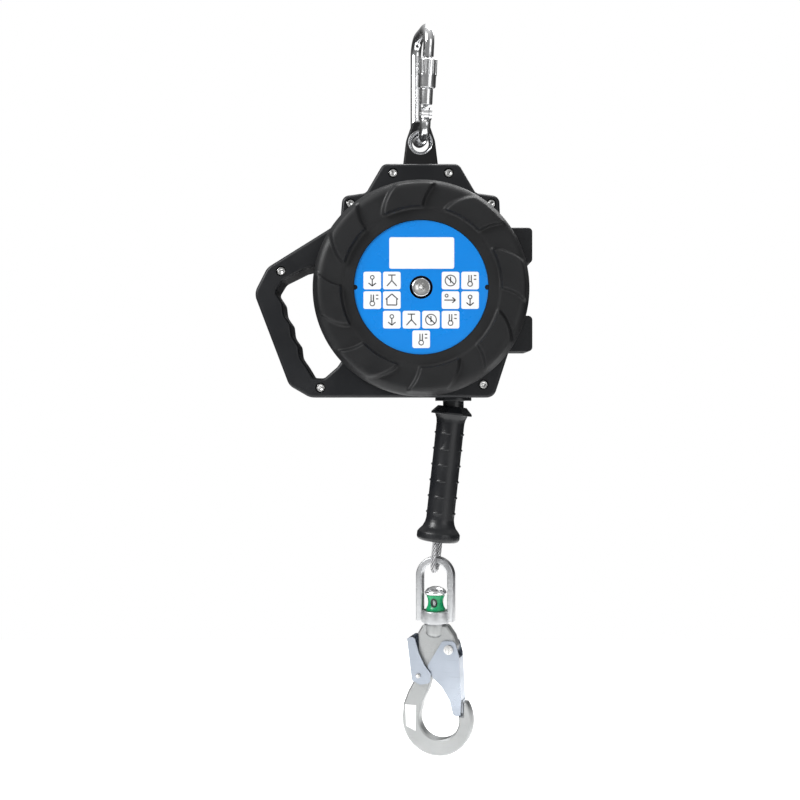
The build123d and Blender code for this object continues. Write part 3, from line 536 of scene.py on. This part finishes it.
def plainMeshFrom(name, source, tree, values):
    holder = bpy.data.objects.new(name + "Source", source)
    bpy.context.scene.collection.objects.link(holder)
    modifier = holder.modifiers.new(name, "NODES")
    modifier.node_group = tree
    sockets = {item.name: item.identifier for item in tree.interface.items_tree if item.in_out == "INPUT"}
    for socketName, value in values.items():
        modifier[sockets[socketName]] = value
    bpy.context.view_layer.update()
    graph = bpy.context.evaluated_depsgraph_get()
    mesh = bpy.data.meshes.new_from_object(holder.evaluated_get(graph), depsgraph=graph)
    mesh.name = name
    bpy.data.objects.remove(holder)
    return mesh


def makeTileTree():
    tree, given, out = geometryTree("roundedTiles", [
        ("Width", "NodeSocketFloat", 0.016), ("Height", "NodeSocketFloat", 0.016),
        ("Corner", "NodeSocketFloat", 0.0015), ("Thickness", "NodeSocketFloat", 0.0001),
        ("Material", "NodeSocketMaterial", None),
    ])
    quad = tree.nodes.new("GeometryNodeCurvePrimitiveQuadrilateral")
    link(tree, given.outputs["Width"], quad.inputs["Width"])
    link(tree, given.outputs["Height"], quad.inputs["Height"])
    corner = tree.nodes.new("GeometryNodeFilletCurve")
    corner.mode = "POLY"
    corner.inputs["Count"].default_value = 4
    link(tree, quad.outputs["Curve"], corner.inputs["Curve"])
    link(tree, given.outputs["Corner"], corner.inputs["Radius"])
    fill = tree.nodes.new("GeometryNodeFillCurve")
    fill.mode = "NGONS"
    link(tree, corner.outputs["Curve"], fill.inputs["Curve"])
    turn = tree.nodes.new("GeometryNodeTransform")
    turn.inputs["Rotation"].default_value = (math.radians(90), 0, 0)
    link(tree, fill.outputs["Mesh"], turn.inputs["Geometry"])
    rise = tree.nodes.new("GeometryNodeExtrudeMesh")
    rise.inputs["Individual"].default_value = False
    link(tree, turn.outputs["Geometry"], rise.inputs["Mesh"])
    link(tree, given.outputs["Thickness"], rise.inputs["Offset Scale"])
    place = tree.nodes.new("GeometryNodeInstanceOnPoints")
    link(tree, given.outputs["Geometry"], place.inputs["Points"])
    link(tree, rise.outputs["Mesh"], place.inputs["Instance"])
    real = tree.nodes.new("GeometryNodeRealizeInstances")
    link(tree, place.outputs["Instances"], real.inputs["Geometry"])
    paint = tree.nodes.new("GeometryNodeSetMaterial")
    link(tree, real.outputs["Geometry"], paint.inputs["Geometry"])
    link(tree, given.outputs["Material"], paint.inputs["Material"])
    link(tree, paint.outputs["Geometry"], out.inputs["Geometry"])
    return tree


def pointMesh(name, points):
    mesh = bpy.data.meshes.new(name)
    mesh.from_pydata(points, [], [])
    return mesh


def tileCentres():
    centres = []
    for row, columns in enumerate(tileColumns):
        for column in columns:
            x = drumAxis.x + column * label["pitch"]
            centres.append((x, drumAxis.z + label["firstRow"] - row * label["pitch"]))
    return centres


def flatStroke(shape, start, end, width, y):
    a, b = Vector(start), Vector(end)
    side = Vector((-(b - a).y, (b - a).x)).normalized() * (width / 2)
    corners = [a - side, b - side, b + side, a + side]
    front = [shape.verts.new((c.x, y - label["inkThick"], c.y)) for c in corners]
    rear = [shape.verts.new((c.x, y, c.y)) for c in corners]
    shape.faces.new(front)
    for n in range(4):
        m = (n + 1) % 4
        shape.faces.new((front[m], front[n], rear[n], rear[m]))


def flatRing(shape, centre, r, width, y):
    turns = [2 * math.pi * n / label["ringParts"] for n in range(label["ringParts"] + 1)]
    for a, b in zip(turns, turns[1:]):
        start = (centre[0] + r * math.cos(a), centre[1] + r * math.sin(a))
        end = (centre[0] + r * math.cos(b), centre[1] + r * math.sin(b))
        flatStroke(shape, start, end, width, y)


# strokes in picture units from a tile's middle: a line's ends, or a ring's middle and radius
pictures = [
    [("ring", (0, 2.6), 1.5), ("line", (0, 1.0), (0, -4.5)), ("line", (0, -4.5), (-3, -2)),
     ("line", (0, -4.5), (3, -2))],
    [("line", (-5, 0), (4, 0)), ("line", (4, 0), (1.5, 2.2)), ("line", (4, 0), (1.5, -2.2)),
     ("ring", (-3.2, 3.6), 1.2)],
    [("line", (-4, -4), (4, -4)), ("line", (-4, -4), (-4, 1)), ("line", (4, -4), (4, 1)),
     ("line", (-5, 0.6), (0, 5)), ("line", (5, 0.6), (0, 5))],
    [("ring", (0, -2.8), 1.9), ("line", (-1, -1), (-1, 4.5)), ("line", (1, -1), (1, 4.5)),
     ("line", (3, 4), (5, 4)), ("line", (3, 1), (5, 1))],
    [("ring", (0, 0), 4.4), ("line", (-3.1, 3.1), (3.1, -3.1)), ("line", (0, 3), (0, -2))],
    [("line", (-3, 4.5), (3, 4.5)), ("line", (0, 4.5), (0, 0)), ("line", (0, 0), (-4, -4.5)),
     ("line", (0, 0), (4, -4.5))],
]


def pictureMesh():
    shape = bmesh.new()
    unit = label["pictureUnit"]
    y = labelFace - label["thick"]
    for n, (x, z) in enumerate(tileCentres()):
        for mark in pictures[(n * 5 + n // 4) % len(pictures)]:  # so that no two neighbours are alike
            if mark[0] == "line":
                start, end = [(x + p[0] * unit, z + p[1] * unit) for p in mark[1:]]
                flatStroke(shape, start, end, label["lineWidth"], y)
            else:
                middle = (x + mark[1][0] * unit, z + mark[1][1] * unit)
                flatRing(shape, middle, mark[2] * unit, label["ringWidth"], y)
    mesh = bpy.data.meshes.new("label_pictures")
    bmesh.ops.recalc_face_normals(shape, faces=shape.faces)
    shape.to_mesh(mesh)
    shape.free()
    return mesh


tileTree = makeTileTree()
tileValues = {"Width": label["tile"], "Height": label["tile"], "Corner": label["corner"],
              "Thickness": label["thick"], "Material": materials["labelWhite"]}
tilePoints = pointMesh("tilePoints", [(x, labelFace, z) for x, z in tileCentres()])
finishMesh("label_tiles", plainMeshFrom("label_tiles", tilePoints, tileTree, tileValues), None, "housing")
panelValues = dict(tileValues, Width=label["panel"][0], Height=label["panel"][1])
panelAt = (drumAxis.x + label["panelRight"], labelFace, drumAxis.z + label["panelUp"])
panelPoint = pointMesh("panelPoint", [panelAt])
finishMesh("label_panel", plainMeshFrom("label_panel", panelPoint, tileTree, panelValues), None, "housing")
finishMesh("label_pictures", pictureMesh(), "labelInk", "housing")
print("label made")

# lead: a stranded steel cable from the drum, through the nozzle and grip, round the bow and into its ferrule

lead = {
    "diameter": 0.005, "length": 0.342, "lean": 6.197, "yaw": -16.0, "mouth": (0.0306, 0.0, -0.33034),
    "strands": 6, "strandR": 0.00068, "layR": 0.00182, "layLength": 0.026, "step": 0.0012, "shadeCoreR": 0.0013,
    "sides": 8, "routeSteps": 16,
}
leadRoute = [  # depth and height from the nozzle's mouth, before it leans and turns
    (0, 0.0941), (0, -0.080), (0, -0.1083), (-0.0089, -0.1273), (-0.0091, -0.1500), (-0.0079, -0.1603),
    (0, -0.1638), (0.0079, -0.1603), (0.0091, -0.1500), (0.0089, -0.1273), (0.0056, -0.1083),
    (0.0056, -0.0863),
]


def leadPlace():
    leaning = Matrix.Rotation(math.radians(lead["lean"]), 4, "Y")
    turned = Matrix.Rotation(math.radians(lead["yaw"]), 4, "Z")
    return Matrix.Translation(lead["mouth"]) @ leaning @ turned


def routePoints():
    place = leadPlace()
    curve = bpy.data.curves.new("leadRoute", "CURVE")
    curve.dimensions = "3D"
    curve.resolution_u = lead["routeSteps"]
    spline = curve.splines.new("NURBS")
    spline.points.add(len(leadRoute) - 1)
    for point, (y, z) in zip(spline.points, leadRoute):
        point.co = (*(place @ Vector((0, y, z))), 1)
    spline.order_u = 3
    spline.use_endpoint_u = True
    holder = bpy.data.objects.new("leadRoute", curve)
    bpy.context.scene.collection.objects.link(holder)
    bpy.context.view_layer.update()
    graph = bpy.context.evaluated_depsgraph_get()
    line = bpy.data.meshes.new_from_object(holder.evaluated_get(graph), depsgraph=graph)
    points = [v.co.copy() for v in line.vertices]
    bpy.data.objects.remove(holder)
    return points, line


def makeStrandTree():
    tree, given, out = geometryTree("twistedStrands", [
        ("Strands", "NodeSocketInt", 6), ("Strand Radius", "NodeSocketFloat", 0.0009),
        ("Lay Radius", "NodeSocketFloat", 0.0016), ("Lay Length", "NodeSocketFloat", 0.03),
        ("Step", "NodeSocketFloat", 0.001), ("Sides", "NodeSocketInt", 8),
        ("Material", "NodeSocketMaterial", None),
    ])
    curve = tree.nodes.new("GeometryNodeMeshToCurve")
    link(tree, given.outputs["Geometry"], curve.inputs["Mesh"])
    even = tree.nodes.new("GeometryNodeResampleCurve")
    even.mode = "LENGTH"
    link(tree, curve.outputs["Curve"], even.inputs["Curve"])
    link(tree, given.outputs["Step"], even.inputs["Length"])
    copies = tree.nodes.new("GeometryNodeDuplicateElements")
    copies.domain = "SPLINE"
    link(tree, even.outputs["Curve"], copies.inputs["Geometry"])
    link(tree, given.outputs["Strands"], copies.inputs["Amount"])

    def calculated(operation, a, b):
        node = tree.nodes.new("ShaderNodeMath")
        node.operation = operation
        for socket, value in zip(node.inputs, (a, b)):
            if isinstance(value, (int, float)):
                socket.default_value = value
            else:
                link(tree, value, socket)
        return node.outputs[0]

    share = calculated("DIVIDE", copies.outputs["Duplicate Index"], given.outputs["Strands"])
    parameter = tree.nodes.new("GeometryNodeSplineParameter")
    turns = calculated("DIVIDE", parameter.outputs["Length"], given.outputs["Lay Length"])
    angle = calculated("MULTIPLY", calculated("ADD", share, turns), 2 * math.pi)
    normal = tree.nodes.new("GeometryNodeInputNormal")
    tangent = tree.nodes.new("GeometryNodeInputTangent")
    across = tree.nodes.new("ShaderNodeVectorMath")
    across.operation = "CROSS_PRODUCT"
    link(tree, tangent.outputs[0], across.inputs[0])
    link(tree, normal.outputs[0], across.inputs[1])

    def scaled(vector, amount):
        node = tree.nodes.new("ShaderNodeVectorMath")
        node.operation = "SCALE"
        link(tree, vector, node.inputs[0])
        link(tree, amount, node.inputs["Scale"])
        return node.outputs[0]

    cosine = calculated("MULTIPLY", calculated("COSINE", angle, 0.0), given.outputs["Lay Radius"])
    sine = calculated("MULTIPLY", calculated("SINE", angle, 0.0), given.outputs["Lay Radius"])
    offset = tree.nodes.new("ShaderNodeVectorMath")
    link(tree, scaled(normal.outputs[0], cosine), offset.inputs[0])
    link(tree, scaled(across.outputs[0], sine), offset.inputs[1])
    move = tree.nodes.new("GeometryNodeSetPosition")
    link(tree, copies.outputs["Geometry"], move.inputs["Geometry"])
    link(tree, offset.outputs[0], move.inputs["Offset"])
    profile = tree.nodes.new("GeometryNodeCurvePrimitiveCircle")
    link(tree, given.outputs["Sides"], profile.inputs["Resolution"])
    link(tree, given.outputs["Strand Radius"], profile.inputs["Radius"])
    skin = tree.nodes.new("GeometryNodeCurveToMesh")
    skin.inputs["Fill Caps"].default_value = True
    link(tree, move.outputs["Geometry"], skin.inputs["Curve"])
    link(tree, profile.outputs["Curve"], skin.inputs["Profile Curve"])
    smooth = tree.nodes.new("GeometryNodeSetShadeSmooth")
    link(tree, skin.outputs["Mesh"], smooth.inputs["Geometry"])
    real = tree.nodes.new("GeometryNodeRealizeInstances")
    link(tree, smooth.outputs["Geometry"], real.inputs["Geometry"])
    paint = tree.nodes.new("GeometryNodeSetMaterial")
    link(tree, real.outputs["Geometry"], paint.inputs["Geometry"])
    link(tree, given.outputs["Material"], paint.inputs["Material"])
    link(tree, paint.outputs["Geometry"], out.inputs["Geometry"])
    return tree


def makeLead():
    points, line = routePoints()
    values = {"Strands": lead["strands"], "Strand Radius": lead["strandR"], "Lay Radius": lead["layR"],
              "Lay Length": lead["layLength"], "Step": lead["step"], "Sides": lead["sides"],
              "Material": materials["strandSteel"]}
    tree = makeStrandTree()
    coreLine = line.copy()
    cable = finishMesh("lead_strands", plainMeshFrom("lead_strands", line, tree, values), None, "lead")
    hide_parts("lead_cable")
    values.update({"Strands": 1, "Lay Radius": 0.0, "Strand Radius": lead["shadeCoreR"],
                   "Material": materials["paintedShadeCore"]})  # a core painted near black as shade, standing in for the shadow in the gaps between the strands
    finishMesh("lead_shade_core", plainMeshFrom("lead_shade_core", coreLine, tree, values), None, "lead")


makeLead()
print("lead made")

# fall indicator: a dark oval ring on the green sleeve's window, painted shade standing in for the shaded
# inside of the window's hole

shadeRing = {
    "low": -0.0396, "inner": (0.0019, 0.0028), "outer": (0.0034, 0.0044), "waist": 0.00712, "curve": 37.0,
    "proud": 0.00014, "sunk": -0.0004, "barMiddle": 0.003, "steps": 28,
}


def shadeRingMesh():
    middle, top = centreOf("bow"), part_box("bow")[1][2]
    bowTop = Vector((middle.x, middle.y, top - shadeRing["barMiddle"]))
    place = Matrix.Translation(bowTop) @ Matrix.Rotation(math.radians(lead["yaw"]), 4, "Z")
    shape = bmesh.new()
    rings = []
    for reach, height in (("inner", "sunk"), ("inner", "proud"), ("outer", "proud"), ("outer", "sunk")):
        loop = []
        for n in range(shadeRing["steps"]):
            turn = 2 * math.pi * n / shadeRing["steps"]
            u, v = shadeRing[reach][0] * math.cos(turn), shadeRing[reach][1] * math.sin(turn)
            r = shadeRing["waist"] + shadeRing["curve"] * v * v + shadeRing[height]
            point = Vector((r * math.sin(u / r), -r * math.cos(u / r), shadeRing["low"] + v))
            loop.append(shape.verts.new(place @ point))
        rings.append(loop)
    for here, there in zip(rings, rings[1:] + rings[:1]):
        for n in range(shadeRing["steps"]):
            m = (n + 1) % shadeRing["steps"]
            shape.faces.new((here[n], here[m], there[m], there[n]))
    bmesh.ops.recalc_face_normals(shape, faces=shape.faces)
    mesh = bpy.data.meshes.new("window_shade_ring")
    shape.to_mesh(mesh)
    shape.free()
    return mesh


# a near-black ring painted as the shade inside the window's hole
finishMesh("window_shade_ring", shadeRingMesh(), "gripRubber", bodyOf["fall_indicator"])
print("window surround made")
